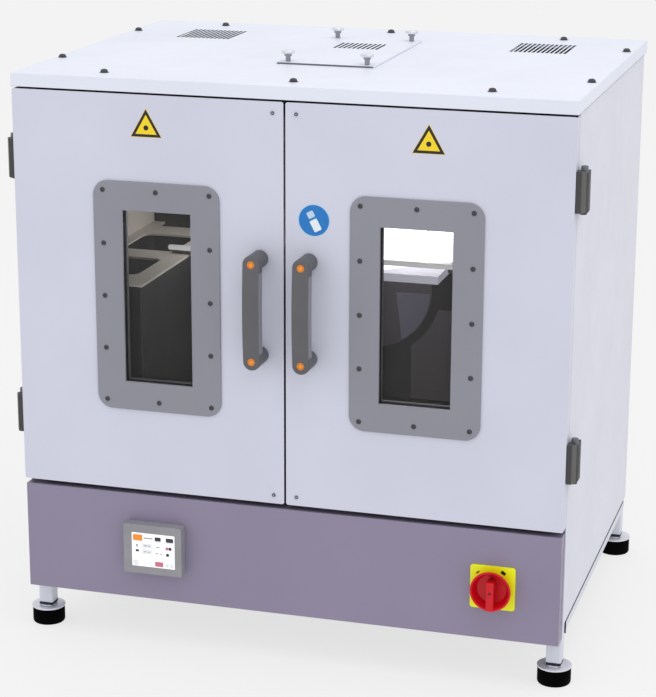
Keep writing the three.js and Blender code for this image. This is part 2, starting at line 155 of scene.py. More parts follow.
def stretch(nt, vec, sx, sy, sz):
    m = nt.nodes.new("ShaderNodeMapping")
    m.inputs["Scale"].default_value = (sx, sy, sz)
    nt.links.new(vec, m.inputs["Vector"])
    return m.outputs["Vector"]


def powder(name, col, rough=0.42, grain=1.0, var=0.03, dust=0.0):
    """powder coat: orange-peel relief, faint mottling and slow roughness change"""
    m, nt, b = new_mat(name)
    v = coords(nt)
    big = noise(nt, v, 5.0, 3)
    fine = noise(nt, v, 900.0, 2)
    peel = noise(nt, v, 330.0, 3, 0.5)
    c = ramp(nt, big, [(0.3, shade(col, 1 - var)), (0.7, shade(col, 1 + var))])
    c2 = mixc(nt, maprange(nt, fine, 0.3, 0.7, 0.0, 0.12), c, shade(col, 0.93))
    nt.links.new(c2, b.inputs["Base Color"])
    nt.links.new(maprange(nt, noise(nt, v, 26.0, 4), 0.3, 0.7, rough - 0.05, rough + 0.07), b.inputs["Roughness"])
    b.inputs["Specular IOR Level"].default_value = 0.42
    h = math_node(nt, "ADD", math_node(nt, "MULTIPLY", peel, 0.75), math_node(nt, "MULTIPLY", fine, 0.25))
    bump(nt, b, h, 0.10 * grain, 0.0006)
    return m


def plastic(name, col, rough=0.5, grain=1.0, spec=0.45):
    """moulded plastic with a fine spark-eroded grain"""
    m, nt, b = new_mat(name)
    v = coords(nt)
    g = noise(nt, v, 1500.0, 3, 0.6)
    soft = noise(nt, v, 30.0, 3)
    c = ramp(nt, soft, [(0.3, shade(col, 0.93)), (0.7, shade(col, 1.07))])
    nt.links.new(mixc(nt, maprange(nt, g, 0.35, 0.65, 0.0, 0.2), c, shade(col, 0.82)), b.inputs["Base Color"])
    nt.links.new(maprange(nt, soft, 0.3, 0.7, rough - 0.06, rough + 0.08), b.inputs["Roughness"])
    b.inputs["Specular IOR Level"].default_value = spec
    bump(nt, b, g, 0.22 * grain, 0.0004)
    return m


def metal(name, col, rough=0.3, axis="x", brush=1.0, stain=0.0, metallic=1.0):
    """brushed or turned metal: long scratches along one axis, plus blotches"""
    m, nt, b = new_mat(name)
    v = coords(nt)
    sc = {"x": (12, 900, 900), "y": (900, 12, 900), "z": (900, 900, 12), "n": (300, 300, 300)}[axis]
    s = noise(nt, stretch(nt, v, *sc), 1.0, 4, 0.65)
    big = noise(nt, v, 14.0, 4)
    c = ramp(nt, s, [(0.3, shade(col, 0.86)), (0.7, shade(col, 1.1))])
    if stain:
        c = mixc(nt, maprange(nt, big, 0.45, 0.75, 0.0, stain), c, (0.20, 0.15, 0.11, 1.0))
    nt.links.new(c, b.inputs["Base Color"])
    b.inputs["Metallic"].default_value = metallic
    nt.links.new(maprange(nt, math_node(nt, "ADD", s, big), 0.6, 1.4, rough - 0.08, rough + 0.14), b.inputs["Roughness"])
    bump(nt, b, s, 0.12 * brush, 0.0003)
    return m


def rubber(name, col, rough=0.75):
    m, nt, b = new_mat(name)
    v = coords(nt)
    g = noise(nt, v, 1100.0, 4, 0.7)
    d = noise(nt, v, 45.0, 4)
    c = ramp(nt, d, [(0.35, shade(col, 0.8)), (0.75, shade(col, 1.5))])
    nt.links.new(c, b.inputs["Base Color"])
    nt.links.new(maprange(nt, d, 0.3, 0.7, rough - 0.12, rough + 0.1), b.inputs["Roughness"])
    b.inputs["Specular IOR Level"].default_value = 0.35
    bump(nt, b, g, 0.3, 0.0005)
    return m


def ceramic(name, col, glow=0.0, rough=0.5):
    m, nt, b = new_mat(name)
    v = coords(nt)
    g = noise(nt, v, 600.0, 4, 0.6)
    d = noise(nt, v, 18.0, 4)
    c = ramp(nt, d, [(0.3, shade(col, 0.97)), (0.7, shade(col, 1.03))])
    nt.links.new(c, b.inputs["Base Color"])
    nt.links.new(maprange(nt, d, 0.3, 0.7, rough - 0.08, rough + 0.08), b.inputs["Roughness"])
    if glow:
        b.inputs["Emission Color"].default_value = (1.0, 0.985, 0.97, 1.0)
        b.inputs["Emission Strength"].default_value = glow
    bump(nt, b, g, 0.12, 0.0004)
    return m


def paint_shade_zones(mat_name, boxes, dark=(0.012, 0.012, 0.016, 1.0)):
    """painted shade: darken the coat inside the given boxes (gaps, window reveals, undersides, slot walls and shadow
    lines)
    """
    nt = M[mat_name].node_tree
    b = next(n for n in nt.nodes if n.type == "BSDF_PRINCIPLED")
    link = b.inputs["Base Color"].links[0]
    src = link.from_socket
    sep = nt.nodes.new("ShaderNodeSeparateXYZ")
    nt.links.new(coords(nt), sep.inputs[0])
    total = None
    for box6 in boxes:
        f = None
        for k, ax in enumerate("XYZ"):
            lo, hi = box6[k]
            for op, v in (("GREATER_THAN", lo), ("LESS_THAN", hi)):
                if v is None:
                    continue
                t = math_node(nt, op, sep.outputs[ax], v)
                f = t if f is None else math_node(nt, "MULTIPLY", f, t)
        total = f if total is None else math_node(nt, "MAXIMUM", total, f)
    nt.links.new(mixc(nt, total, src, dark), b.inputs["Base Color"])


M = {}
# painted light and shade: door, side and lid coats are one pale coat in three tones, the lid lightest and the doors
# darkest, for the light on top, sides and fronts
M["door"] = powder("door_coat", srgb(208, 209, 225))
M["lid"] = powder("lid_coat", srgb(226, 230, 243))
M["side"] = powder("side_coat", srgb(215, 216, 228))
M["fascia"] = powder("fascia_coat", srgb(139, 131, 155), 0.4)
M["frame"] = powder("frame_coat", srgb(212, 214, 226), 0.4)
# painted shade: the front rails, seen only through the door gaps, are coloured near-black to read as shade
M["rail"] = powder("rail_painted_shade_coat", srgb(46, 46, 54), 0.55)
M["bezel"] = powder("bezel_coat", srgb(140, 140, 151), 0.4)
M["handle"] = plastic("handle_plastic", srgb(92, 92, 96), 0.5)
M["hinge"] = plastic("hinge_plastic", srgb(60, 60, 63), 0.55)
# painted highlight: a lighter copy of the hinge plastic for the lit chamfer of the door leaf
M["hinge_painted_highlight"] = plastic("hinge_plastic_painted_highlight", srgb(84, 84, 82), 0.45)
# painted light: a much lighter steel for the thumb-screw heads, which stand in the light; the darker stem stands for
# the shade under the head
M["painted_light_head"] = metal("steel_head_painted_light", (0.78, 0.79, 0.83, 1), 0.3, "n", 0.7, 0.0, 0.6)
# painted light: a lighter copy of the handle plastic for the side faces of the bar
M["handle_painted_light_flank"] = plastic("handle_plastic_painted_light_flank", srgb(132, 132, 142), 0.4)
M["hinge_cap"] = plastic("hinge_cap_plastic", srgb(104, 108, 116), 0.45)
M["orange"] = plastic("cap_orange", srgb(222, 128, 40), 0.4, 0.4)
M["orange_dark"] = plastic("cap_orange_recess", srgb(248, 160, 34), 0.5, 0.4)
M["hmi"] = plastic("controller_plastic", srgb(146, 146, 152), 0.5)
M["yellow"] = plastic("switch_yellow", srgb(240, 248, 8), 0.4, 0.5)
M["red"] = plastic("switch_red", srgb(208, 10, 30), 0.36, 0.4, 0.35)
M["black"] = plastic("black_plastic", srgb(34, 34, 36), 0.45)
M["mark"] = plastic("mark_black", srgb(22, 18, 16), 0.5, 0.3)
M["foot"] = rubber("foot_rubber", (0.0012, 0.0012, 0.0013, 1), 0.8)
M["foot"].node_tree.nodes["Principled BSDF"].inputs["Specular IOR Level"].default_value = 0.03
M["gasket"] = rubber("window_gasket", srgb(26, 24, 28), 0.8)
M["seal"] = rubber("door_seal", srgb(60, 40, 36), 0.7)
# dark plastic for the tube plugs; also the painted shadow strip along the side panels' lower edges
M["joint"] = rubber("plug_and_shadow_strip_dark", srgb(36, 34, 54), 0.7)
M["zinc"] = metal("zinc_sheet", (0.16, 0.16, 0.17, 1), 0.5, "x", 1.0, 0.0, 0.5)
M["plate"] = metal("foot_plate_steel", (0.72, 0.72, 0.80, 1), 0.34, "n", 0.6, 0.0, 0.5)
M["bright"] = metal("bright_steel", (0.30, 0.30, 0.33, 1), 0.24, "z", 0.7)
M["screw"] = metal("screw_steel", (0.085, 0.085, 0.095, 1), 0.3, "n", 0.8)
# painted shade: the liner steel is near-black so the inside of the chamber reads as shade
M["liner"] = metal("liner_steel", (0.040, 0.039, 0.038, 1), 0.62, "z", 0.8, 0.0, 0.2)
M["rack"] = powder("rack_coat", srgb(206, 200, 190), 0.55, 1.2)
M["shelf"] = metal("shelf_aluminium", (0.80, 0.80, 0.88, 1), 0.42, "x", 0.8, 0.0, 0.1)
# painted light: the aluminium shelf glows with a pale bluish emission, though it is no lamp
_b = next(n for n in M["shelf"].node_tree.nodes if n.type == "BSDF_PRINCIPLED")
_b.inputs["Emission Color"].default_value = (0.80, 0.80, 0.95, 1.0)
_b.inputs["Emission Strength"].default_value = 0.30
# painted light: the white ceramic of the reflector hood and rod hangers glows, though it is no lamp
M["ceramic"] = ceramic("white_ceramic", (0.90, 0.90, 0.89, 1), 1.1)
# painted light: both quartz rods are given a glow, faint on rod 1 and white on rod 2, so they read bright
M["quartz"] = ceramic("quartz_rod", (0.50, 0.50, 0.55, 1), 0.32, 0.3)
M["quartz_painted_glow"] = ceramic("quartz_rod_painted_glow", (0.90, 0.90, 0.92, 1), 1.0, 0.3)
# painted light and shade: one duct coat in a lighter copy for the vane and a darker copy for the disc and baffles, for
# lit and shaded facets
M["duct"] = powder("duct_coat", srgb(190, 186, 208), 0.6, 1.0)
M["duct_dark"] = powder("duct_dark_coat", srgb(140, 136, 138), 0.6, 1.0)
# painted shade: near-black plates under the lid slots so the slots read dark
M["mesh"] = rubber("slot_painted_shade_plate", srgb(40, 42, 50), 0.8)
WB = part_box("left_window_glass"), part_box("right_window_glass")
wz0, wz1 = WB[0][0].z + 0.0085, WB[0][1].z - 0.0085
# painted shade: the gap between the doors, the window reveals and the strips along the doors' top and bottom edges are
# darkened
paint_shade_zones("door", [
    ((-0.0022, 0.0022), (Y(1.2), None), (None, None)),
    ((WB[0][0].x + 0.0086, WB[0][1].x - 0.0086), (Y(0.35), None), (wz0, wz1)),
    ((WB[1][0].x + 0.0086, WB[1][1].x - 0.0086), (Y(0.35), None), (wz0, wz1)),
    ((None, None), (Y(1.5), None), (0.8143, None)),
    ((None, None), (Y(1.5), None), (None, 0.2397)),
])
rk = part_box("left_rack")
# painted shadow: on the shelf's top face a grey band in front of a diagonal edge, mirrored about x = 0, stands for a
# cast shadow and dims the glow; the arms beyond |x| = 0.1704 are darkened and get no glow
nt = M["shelf"].node_tree
b = next(n for n in nt.nodes if n.type == "BSDF_PRINCIPLED")
sep = nt.nodes.new("ShaderNodeSeparateXYZ")
nt.links.new(coords(nt), sep.inputs[0])
geo = nt.nodes.new("ShaderNodeNewGeometry")
nsep = nt.nodes.new("ShaderNodeSeparateXYZ")
nt.links.new(geo.outputs["Normal"], nsep.inputs[0])
ax = math_node(nt, "ABSOLUTE", sep.outputs["X"], 0.0)
line = math_node(nt, "SUBTRACT", math_node(nt, "MULTIPLY", math_node(nt, "SUBTRACT", ax, 0.0820), 0.92), math_node(nt, "ADD", sep.outputs["Y"], 0.0542))
top = math_node(nt, "MULTIPLY", maprange(nt, nsep.outputs["Z"], 0.4, 0.6, 0.0, 1.0), maprange(nt, line, -0.002, 0.012, 0.0, 1.0))
nt.links.new(mixc(nt, top, b.inputs["Base Color"].links[0].from_socket, (0.26, 0.26, 0.33, 1.0)), b.inputs["Base Color"])
arm = math_node(nt, "GREATER_THAN", ax, 0.1704)
glow = mixc(nt, arm, mixc(nt, top, (0.80, 0.80, 0.95, 1.0), (0.18, 0.18, 0.24, 1.0)), (0.0, 0.0, 0.0, 1.0))
nt.links.new(glow, b.inputs["Emission Color"])
nt.links.new(mixc(nt, arm, b.inputs["Base Color"].links[0].from_socket, (0.10, 0.095, 0.085, 1.0)), b.inputs["Base Color"])
# painted shade: the rack is darkened below its top face, so only the top reads lit
paint_shade_zones("rack", [((None, None), (None, None), (None, rk[1].z - 0.0034))], (0.016, 0.016, 0.016, 1.0))
rk_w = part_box("reflector_hood")
# painted shade: the lid's underside, the slot walls and a patch at the access-panel opening are darkened
paint_shade_zones("lid", [((None, None), (None, None), (None, 0.8179)), ((-0.32, 0.32), (Y(200), Y(520)), (None, 0.8362)), ((-0.040, 0.040), (Y(357), Y(420)), (0.8363, 0.8384))])
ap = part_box("access_panel")
# painted shadow line: the front face of the access panel is darkened
paint_shade_zones("lid", [((ap[0].x - 0.001, ap[1].x + 0.001), (ap[0].y - 0.0006, ap[0].y + 0.0004), (ap[0].z - 0.0008, ap[1].z + 0.0004))], (0.15, 0.15, 0.19, 1.0))

# glass: thin, slightly tinted, faint wiping streaks
m, nt, b = new_mat("window_glass")
v = coords(nt)
s = noise(nt, stretch(nt, v, 60, 60, 4), 1.0, 4, 0.6)
nt.links.new(maprange(nt, s, 0.35, 0.75, 0.01, 0.05), b.inputs["Roughness"])
nt.links.new(ramp(nt, s, [(0.3, (0.21, 0.20, 0.20)), (0.7, (0.25, 0.24, 0.24))]), b.inputs["Base Color"])
b.inputs["Alpha"].default_value = 0.07
b.inputs["Specular IOR Level"].default_value = 0.5
M["glass"] = m

# display: bright panel with a soft vertical gradient and pixel grid
m, nt, b = new_mat("display_panel")
v = coords(nt)
sep = nt.nodes.new("ShaderNodeSeparateXYZ")
nt.links.new(v, sep.inputs[0])
grid = math_node(nt, "MULTIPLY", math_node(nt, "SINE", math_node(nt, "MULTIPLY", sep.outputs["X"], 12000.0)), math_node(nt, "SINE", math_node(nt, "MULTIPLY", sep.outputs["Z"], 12000.0)))
c = ramp(nt, maprange(nt, sep.outputs["Z"], 0.125, 0.180, 0.0, 1.0), [(0.0, srgb(246, 243, 250)), (1.0, srgb(250, 250, 255))])
c = mixc(nt, maprange(nt, grid, -1, 1, 0.0, 0.05), c, (0.7, 0.75, 0.85, 1))
nt.links.new(c, b.inputs["Base Color"])
nt.links.new(c, b.inputs["Emission Color"])
b.inputs["Emission Strength"].default_value = 0.25
b.inputs["Roughness"].default_value = 0.12
M["display"] = m


def icon(name, rgb, glow=0.15):
    m, nt, b = new_mat(name)
    v = coords(nt)
    n = noise(nt, v, 700.0, 2)
    c = srgb(*rgb)
    nt.links.new(ramp(nt, n, [(0.3, shade(c, 0.92)), (0.7, shade(c, 1.05))]), b.inputs["Base Color"])
    nt.links.new(maprange(nt, n, 0.3, 0.7, 0.16, 0.30), b.inputs["Roughness"])
    bump(nt, b, n, 0.04, 0.0001)
    b.inputs["Emission Color"].default_value = c
    b.inputs["Emission Strength"].default_value = glow
    return m


M["ic_orange"] = icon("icon_orange", (235, 140, 40))
M["ic_grey"] = icon("icon_grey", (150, 152, 160))
M["ic_light"] = icon("icon_light", (226, 228, 236))
M["ic_dark"] = icon("icon_dark", (50, 48, 60), 0.02)
M["ic_red"] = icon("icon_red", (196, 110, 126))
M["lab_yellow"] = icon("label_yellow", (245, 214, 20), 0.0)
M["lab_black"] = icon("label_black", (20, 17, 12), 0.0)
M["lab_blue"] = icon("label_blue", (8, 118, 196), 0.0)
M["lab_white"] = icon("label_white", (232, 242, 250), 0.0)
M["lab_rim"] = icon("label_rim", (190, 214, 236), 0.0)


# --------------------------------------------------------------- mesh helpers
def finish_mesh(bm, name, mat, body, replaces=(), angle=35, bevel=0.0, seg=2, mats=None):
    bmesh.ops.remove_doubles(bm, verts=bm.verts, dist=1e-7)
    bmesh.ops.recalc_face_normals(bm, faces=bm.faces)
    me = bpy.data.meshes.new(name)
    bm.to_mesh(me)
    bm.free()
    for p in me.polygons:
        p.use_smooth = True
    me.set_sharp_from_angle(angle=math.radians(angle))
    for x in (mats or [mat]):
        me.materials.append(M[x] if isinstance(x, str) else x)
    o = bpy.data.objects.new(name, me)
    coll.objects.link(o)
    if bevel:
        md = o.modifiers.new("bevel", "BEVEL")
        md.width = bevel
        md.segments = seg
        md.limit_method = "ANGLE"
        md.angle_limit = math.radians(40)
        md.harden_normals = True
    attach(o, body)
    if replaces:
        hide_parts(*replaces)
    return o


def axis_matrix(axis, origin):
    """local +Z -> axis"""
    a = Vector(axis).normalized()
    q = Vector((0, 0, 1)).rotation_difference(a)
    return Matrix.Translation(Vector(origin)) @ q.to_matrix().to_4x4()


def lathe(bm, profile, origin, axis=(0, 0, 1), seg=48, mat=0, phase=0.0):
    """profile: (radius, height) pairs in mm; starts and ends on the axis for a closed body"""
    T = axis_matrix(axis, origin)
    rings = []
    for r, h in profile:
        if r < 1e-6:
            rings.append([bm.verts.new(T @ Vector((0, 0, h * MM)))])
        else:
            rings.append([bm.verts.new(T @ Vector((r * MM * math.cos(phase + 2 * math.pi * i / seg), r * MM * math.sin(phase + 2 * math.pi * i / seg), h * MM))) for i in range(seg)])
    for a, b2 in zip(rings, rings[1:]):
        for i in range(seg):
            j = (i + 1) % seg
            if len(a) == 1 and len(b2) == 1:
                continue
            if len(a) == 1:
                f = bm.faces.new((a[0], b2[j], b2[i]))
            elif len(b2) == 1:
                f = bm.faces.new((a[i], a[j], b2[0]))
            else:
                f = bm.faces.new((a[i], a[j], b2[j], b2[i]))
            f.material_index = mat


def block(bm, x0, x1, y0, y1, z0, z1, mat=0):
    """box in metres"""
    vs = [bm.verts.new((x, y, z)) for x in (x0, x1) for y in (y0, y1) for z in (z0, z1)]
    for idx in ((0, 1, 3, 2), (4, 6, 7, 5), (0, 4, 5, 1), (2, 3, 7, 6), (0, 2, 6, 4), (1, 5, 7, 3)):
        f = bm.faces.new([vs[i] for i in idx])
        f.material_index = mat


def prism(bm, pts, plane, a, b2, mat=0):
    """closed outline extruded; plane 'xz' -> along y, 'xy' -> along z, 'yz' -> along x; metres"""
    def P(p, q, w):
        return {"xz": (p, w, q), "xy": (p, q, w), "yz": (w, p, q)}[plane]
    lo = [bm.verts.new(P(p, q, a)) for p, q in pts]
    hi = [bm.verts.new(P(p, q, b2)) for p, q in pts]
    n = len(pts)
    for f in (bm.faces.new(lo), bm.faces.new(hi)):
        f.material_index = mat
    for i in range(n):
        j = (i + 1) % n
        bm.faces.new((lo[i], lo[j], hi[j], hi[i])).material_index = mat


def rr_pts(cx, cy, w, h, r, seg=8):
    pts = []
    for (sx, sy, a0) in ((1, -1, -90), (1, 1, 0), (-1, 1, 90), (-1, -1, 180)):
        for i in range(seg + 1):
            a = math.radians(a0 + 90 * i / seg)
            pts.append((cx + sx * (w / 2 - r) + r * math.cos(a), cy + sy * (h / 2 - r) + r * math.sin(a)))
    return pts


def dress(node, mat, bevel=0.0, seg=2):
    o = N[node]
    o.data.materials.clear()
    o.data.materials.append(M[mat] if isinstance(mat, str) else mat)
    if bevel:
        w = o.modifiers.new("weld", "WELD")
        w.merge_threshold = 2e-6
        md = o.modifiers.new("bevel", "BEVEL")
        md.width = bevel
        md.segments = seg
        md.limit_method = "ANGLE"
        md.angle_limit = math.radians(50)
        md.harden_normals = False
    return o


# -------------------------------------------------------- carried CAD nodes
for s in ("left", "right"):
    dress(f"{s}_door_pan", "door", 0.0007)
    dress(f"{s}_door_inner_panel", "zinc", 0.0004)
    dress(f"{s}_window_glass", "glass")
    dress(f"{s}_window_gasket", "gasket", 0.0005)
    dress(f"{s}_side_panel", "side", 0.0003)
    dress(f"{s}_bottom_rail", "frame", 0.0015, 3)
    dress(f"{s}_rack", "rack", 0.0005)
# front rails take the near-black coat as painted shade in the door gaps
dress("front_top_rail", "rail", 0.001)
dress("rear_top_rail", "frame", 0.001)
dress("front_middle_rail", "rail", 0.001)
dress("top_cover", "lid", 0.0006)
dress("access_panel", "lid", 0.0004)
dress("control_fascia", "fascia", 0.0008)
dress("back_panel", "side", 0.0003)
dress("base_panel", "zinc", 0.0003)
dress("chamber_liner", "liner", 0.0004)
dress("board_shelf", "shelf", 0.0006)
# the hood takes the glowing ceramic: painted light
dress("reflector_hood", "ceramic", 0.001)
dress("controller_housing", "hmi", 0.0007, 2)
dress("controller_screen", "display")
dress("main_switch_body", "yellow", 0.0008)
dress("mains_inlet", "black", 0.0005)
dress("fan_housing", "black", 0.0006)
dress("fan_rotor", "black", 0.0003)
dress("power_supply", "zinc", 0.0008)
dress("temperature_probe", "bright")

# --------------------------------------------------------------- feet, posts
for fr in ("front", "rear"):
    for s in ("left", "right"):
        lo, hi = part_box(f"{fr}_{s}_foot")
        cx, cy = (lo.x + hi.x) / 2, (lo.y + hi.y) / 2
        R, H = (hi.x - lo.x) / 2 / MM, (hi.z - lo.z) / MM
        bm = bmesh.new()
        prof = [(0, 1.2), (R - 8, 1.2), (R - 8, 0), (R - 3, 0), (R - 1.2, 0.5), (R - 0.4, 1.6), (R, 3.2), (R, H - 2.4), (R - 0.5, H - 1.0), (R - 1.6, H - 0.2), (R - 3, H), (0, H)]
        lathe(bm, prof, (cx, cy, 0), seg=64)
        finish_mesh(bm, f"{fr}_{s}_rubber_foot", "foot", "cabinet", [f"{fr}_{s}_foot"])
        bm = bmesh.new()
        z0, z1 = H + 0.3, 27.0
        lathe(bm, [(0, z0), (R + 0.2, z0), (R + 0.9, z0 + 0.4), (R + 1.0, z0 + 1.0), (R + 1.0, z1 - 1.0), (R + 0.6, z1 - 0.2), (R, z1), (13.2, z1), (12.6, z1 + 0.1), (12.2, z1 + 0.9), (11.6, z1 + 1.2), (0, z1 + 1.2)], (cx, cy, 0), seg=64)
        finish_mesh(bm, f"{fr}_{s}_foot_plate", "plate", "cabinet")
        bm = bmesh.new()
        block(bm, cx - 0.0106, cx + 0.0106, cy - 0.0106, cy + 0.0106, 0.0283, 0.0326)
        block(bm, cx - 0.0084, cx + 0.0084, cy - 0.0084, cy + 0.0084, 0.0322, 0.042)
        finish_mesh(bm, f"{fr}_{s}_tube_plug", "joint", "cabinet", bevel=0.0004)
        # square tube with rounded corners and an open top
        bm = bmesh.new()
        outer = rr_pts(cx, cy, 0.022, 0.022, 0.0028, 5)
        inner = rr_pts(cx, cy, 0.018, 0.018, 0.0012, 5)
        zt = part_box(f"{fr}_{s}_post")[1].z
        rings = [[bm.verts.new((p[0], p[1], z)) for p in pts] for pts, z in ((outer, 0.0328), (outer, zt), (inner, zt), (inner, 0.0328))]
        for a, b2 in zip(rings, rings[1:] + rings[:1]):
            for i in range(len(a)):
                j = (i + 1) % len(a)
                bm.faces.new((a[i], a[j], b2[j], b2[i]))
        finish_mesh(bm, f"{fr}_{s}_corner_tube", "frame", "cabinet", [f"{fr}_{s}_post"], angle=50)

# ------------------------------------------------------------------- screws
def pan_head(bm, origin, axis, r, h, mat=0, drive="hex", seg=24):
    """button head with a round recessed socket; origin on the seat"""
    prof = [(0, -0.6), (r, -0.6), (r, h * 0.22), (r * 0.95, h * 0.5), (r * 0.8, h * 0.82), (r * 0.58, h * 0.98), (r * 0.46, h)]
    T = axis_matrix(axis, origin)
    lathe(bm, prof + [(r * 0.40, h * 0.96), (r * 0.38, h * 0.35), (0, h * 0.30)], origin, axis, seg, mat)


def side_of(s):
    return -1 if s == "left" else 1


for s in ("left", "right"):
    lo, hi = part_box(f"{s}_window_bezel")
    cx, cz = (lo.x + hi.x) / 2, (lo.z + hi.z) / 2
    W, H = hi.x - lo.x, hi.z - lo.z
    ow, oh = 0.1014, 0.2496
    bm = bmesh.new()
    outer = rr_pts(cx, cz, W, H, 0.022, 10)
    inner = rr_pts(cx, cz, ow, oh, 0.0004, 10)
    yb, yf = Y(-0.3), Y(-2.8)
    loops = []
    e = 0.0006
    for pts, y in ((outer, yb), (outer, yf + e), (rr_pts(cx, cz, W - 2 * e, H - 2 * e, 0.022 - e, 10), yf), (rr_pts(cx, cz, ow + 2 * e, oh + 2 * e, 0.001, 10), yf), (inner, yf + e), (inner, yb)):
        loops.append([bm.verts.new((p[0], y, p[1])) for p in pts])
    for a, b2 in zip(loops, loops[1:] + loops[:1]):
        for i in range(len(a)):
            j = (i + 1) % len(a)
            bm.faces.new((a[i], a[j], b2[j], b2[i]))
    finish_mesh(bm, f"{s}_bezel_plate", "bezel", f"{s}_door", [f"{s}_window_bezel"], angle=30)
    bm = bmesh.new()
    for dx in (-1, 0, 1):
        for dz in (-2, -1, 0, 1, 2):
            if dx == 0 and abs(dz) != 2:
                continue
            pan_head(bm, (cx + dx * 0.0788, yf, cz + dz * 0.07645), (0, -1, 0), 3.6, 1.3)
    finish_mesh(bm, f"{s}_bezel_screws", "screw", f"{s}_door", angle=40)
    # catch screws in the opening edge
    bm = bmesh.new()
    for z in (0.239 + 0.0126, 0.815 - 0.0156):
        pan_head(bm, (side_of(s) * 0.0168, Y(0.0), z), (0, -1, 0), 2.75, 2.0)
    finish_mesh(bm, f"{s}_catch_screws", "screw", f"{s}_door", angle=40)

lo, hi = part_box("top_cover")
bm = bmesh.new()
zl = hi.z - 0.0034
for x, y in ((-277, 42), (0, 42), (277, 42), (-277, 566), (0, 566), (277, 566), (-390, 160), (-390, 468), (390, 160), (390, 468)):
    lathe(bm, [(0, -0.5), (6.6, -0.5), (6.6, 0.5), (6.2, 0.8), (5.15, 0.95), (5.1, 3.0), (4.6, 3.7), (3.4, 4.4), (2.4, 4.8), (1.9, 4.7), (1.7, 4.1), (0, 4.0)], (x * MM, Y(y), zl), (0, 0, 1), 28)
finish_mesh(bm, "cover_screws", "screw", "cabinet", angle=40)

# --------------------------------------------------------------- thumb screws
for k in (1, 2, 3, 4):
    lo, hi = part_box(f"thumb_screw_{k}")
    cx, cy = (lo.x + hi.x) / 2, (lo.y + hi.y) / 2
    zt = hi.z - 0.0155
    bm = bmesh.new()
    T = Matrix.Translation((cx, cy, zt))
    seg = 96
    prof = [(0, -10.5), (1.5, -10.5), (1.9, -9.8), (1.9, 0), (3.5, 0), (3.7, 0.3), (3.7, 7.4), (5.2, 7.6), (5.4, 7.9), (5.4, 11.4), (9.0, 11.5), (9.7, 12.0), (9.7, 14.8), (9.1, 15.4), (7.8, 15.5), (3.0, 15.5), (2.4, 15.1), (0, 15.1)]
    rings = []
    for r, h in prof:
        if r == 0:
            rings.append([bm.verts.new(T @ Vector((0, 0, h * MM)))])
            continue
        knurl = 0.35 if r > 9.5 else 0.0
        rings.append([bm.verts.new(T @ Vector(((r - (knurl if i % 2 else 0)) * MM * math.cos(2 * math.pi * i / seg), (r - (knurl if i % 2 else 0)) * MM * math.sin(2 * math.pi * i / seg), h * MM))) for i in range(seg)])
    for a, b2 in zip(rings, rings[1:]):
        for i in range(seg):
            j = (i + 1) % seg
            if len(a) == 1:
                bm.faces.new((a[0], b2[j], b2[i]))
            elif len(b2) == 1:
                bm.faces.new((a[i], a[j], b2[0]))
            else:
                bm.faces.new((a[i], a[j], b2[j], b2[i]))
    # painted light and shade: head faces take the lighter steel, the stem below keeps the darker steel
    for f in bm.faces:
        if f.calc_center_median().z > zt + 0.0114:
            f.material_index = 1
    finish_mesh(bm, f"knurled_screw_{k}", "bright", f"thumb_screw_{k}", [f"thumb_screw_{k}"], angle=32, mats=["bright", "painted_light_head"])

# -------------------------------------------------------------------- handles
for s in ("left", "right"):
    lo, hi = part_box(f"{s}_handle")
    cx, cz = (lo.x + hi.x) / 2, (lo.z + hi.z) / 2
    hw = (hi.x - lo.x) / 2 / MM
    hp = 69.0
    bm = bmesh.new()
    def section(w, yf, yb, r):
        """rounded rectangle in x and y"""
        return rr_pts(0, (yf + yb) / 2, 2 * w, yb - yf, min(r, w * 0.98, (yb - yf) / 2.05), 4)
    rings = []
    steps = [-math.pi / 2 + math.pi / 2 * i / 14 for i in range(15)]
    zs = [(-hp + hw * math.sin(a), hw * math.cos(a)) for a in steps[1:]]
    zs += [(-hp + 2 * hp * i / 24, hw) for i in range(1, 24)]
    zs += [(-z, w) for z, w in reversed(zs[:14])]
    for z, w in zs:
        u = min(abs(z) / hp, 1.0)
        bow = 1 - u * u
        e = max(0.0, 1 - w / hw)
        yf = -41.4 - 3.6 * bow + 1.6 * e ** 3
        yb = -26.0 - 2.5 * bow
        rings.append([bm.verts.new((cx + p[0] * MM, Y(p[1]), cz + z * MM)) for p in section(max(w, 1.2), yf, yb, 1.7)])
    for a, b2 in zip(rings, rings[1:]):
        for j in range(len(a)):
            k2 = (j + 1) % len(a)
            bm.faces.new((a[j], a[k2], b2[k2], b2[j]))
    bm.faces.new(rings[0])
    bm.faces.new(rings[-1])
    for e in (1, -1):
        r = hw - 0.15
        lathe(bm, [(0, 0.35), (r - 0.3, 0.35), (r, 0.8), (r, 20), (r - 0.4, 30), (r - 1.2, 35), (0, 35)], (cx, Y(0), cz + e * hp * MM), (0, -1, 0), 48)
    # painted light: the side faces of the bar take the lighter copy
    for f in bm.faces:
        f.normal_update()
        c = f.calc_center_median()
        if c.y < Y(-24.5) and abs(f.normal.x) > 0.8 and abs(c.z - cz) < 0.055:
            f.material_index = 1
    finish_mesh(bm, f"{s}_bow_handle", "handle", f"{s}_door", [f"{s}_handle"], angle=42, mats=["handle", "handle_painted_light_flank"])
    bm = bmesh.new()
    for e in (1, -1):
        lathe(bm, [(0, 38), (5.3, 38), (5.3, 41.9), (4.9, 42.3), (3.2, 42.4), (2.9, 42.1), (2.9, 41.8), (0, 41.8)], (cx, Y(0), cz + e * hp * MM), (0, -1, 0), 32)
    finish_mesh(bm, f"{s}_handle_caps", "orange", f"{s}_door", angle=35)
    bm = bmesh.new()
    for e in (1, -1):
        lathe(bm, [(0, 41.7), (2.8, 41.7), (2.8, 41.95), (0, 41.95)], (cx, Y(0), cz + e * hp * MM), (0, -1, 0), 6)
    finish_mesh(bm, f"{s}_handle_cap_recesses", "orange_dark", f"{s}_door", angle=35)

